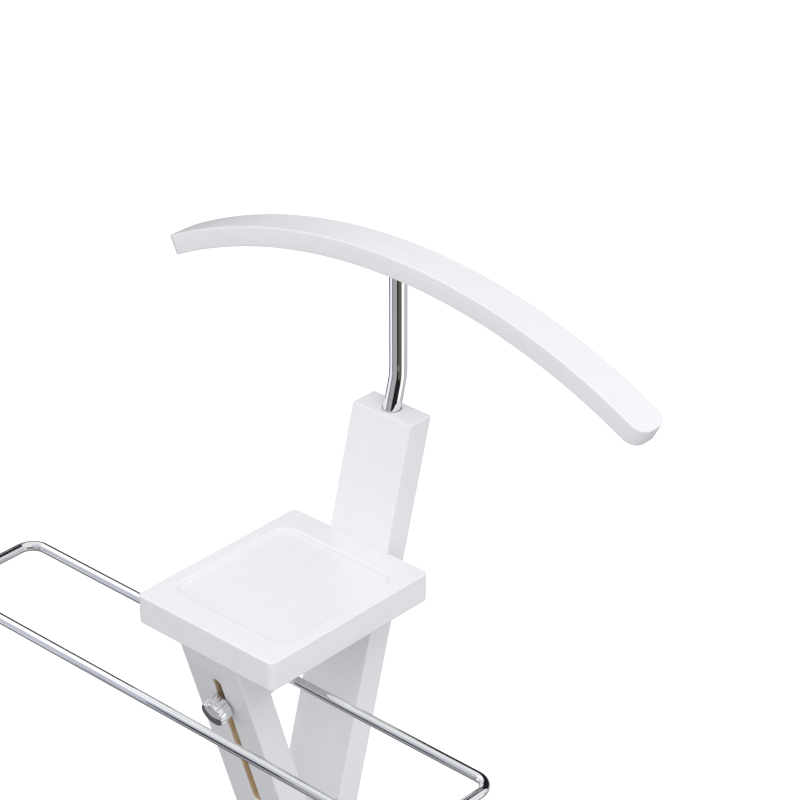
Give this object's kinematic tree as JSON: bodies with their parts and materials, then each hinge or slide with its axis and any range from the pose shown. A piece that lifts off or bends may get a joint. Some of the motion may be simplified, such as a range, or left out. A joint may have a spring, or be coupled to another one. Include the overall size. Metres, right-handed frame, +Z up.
{
  "type": "valet stand",
  "caption": "Free-standing valet stand: crossed lacquered boards carry a shaped coat hanger on a bent chrome mast, a small catch-all tray and a rectangular trouser bar.",
  "frame": {"origin": "on the floor, under the middle of the whole object", "axes": "+Z up, +X to the right seen from the front, the front faces -Y"},
  "size_m": [0.498, 0.328, 1.0482],
  "materials": {
    "white_lacquer": "satin white lacquer over solid wood",
    "chrome": "polished chrome plate",
    "brass": "plain turned brass",
    "zinc_steel": "zinc plated steel",
    "beech": "raw beech",
    "white_plastic": "moulded white cap",
    "glide_rubber": "moulded dark grey rubber"
  },
  "bodies": {
    "frame": {"post": "white_lacquer", "tray_strut": "white_lacquer", "rear_leg": "white_lacquer", "tray": "white_lacquer", "front_foot": "white_lacquer", "rear_foot": "white_lacquer", "front_glides": "glide_rubber", "rear_glides": "glide_rubber", "shoe_rail_1": "chrome", "shoe_rail_2": "chrome", "shoe_rail_3": "chrome", "shoe_rail_4": "chrome", "mast_set_screw": "zinc_steel", "mast_set_insert": "brass", "joint_bolts": "zinc_steel", "joint_barrel_nuts": "zinc_steel", "joint_nut_caps": "white_plastic", "joint_dowels": "beech", "tray_dowels": "beech", "tray_screws": "zinc_steel", "front_foot_screws": "zinc_steel", "rear_foot_screws": "zinc_steel"},
    "mast": {"mast_tube": "chrome", "mast_stud": "zinc_steel"},
    "hanger": {"hanger": "white_lacquer", "hanger_insert": "brass"},
    "bar_slider": {"bar_block": "white_lacquer", "bar_block_insert": "brass", "bar_clamp_washer": "zinc_steel"},
    "bar_knob": {"bar_clamp_knob": "chrome", "bar_clamp_stud": "zinc_steel"},
    "trouser_bar": {"trouser_bar": "chrome"}
  },
  "joints": [
    {"name": "mast_lift", "type": "slide", "parent": "frame", "child": "mast", "axis": [0, 0.2644, 0.9644], "range_m": [0, 0.06]},
    {"name": "hanger_swivel", "type": "hinge", "parent": "mast", "child": "hanger", "pos_m": [0, 0.11045, 1.0315], "axis": [0, 0, 1], "range_deg": [-90, 90]},
    {"name": "bar_height", "type": "slide", "parent": "frame", "child": "bar_slider", "axis": [0, 0.289, -0.9573], "range_m": [0, 0.1]},
    {"name": "bar_swing", "type": "hinge", "parent": "bar_slider", "child": "trouser_bar", "pos_m": [0, -0.05989, 0.7688], "axis": [1, 0, 0], "range_deg": [0, 80]},
    {"name": "knob_turn", "type": "hinge", "parent": "bar_slider", "child": "bar_knob", "pos_m": [0, -0.08668, 0.73815], "axis": [0, -0.9573, -0.289], "range_deg": [0, 360]}
  ]
}
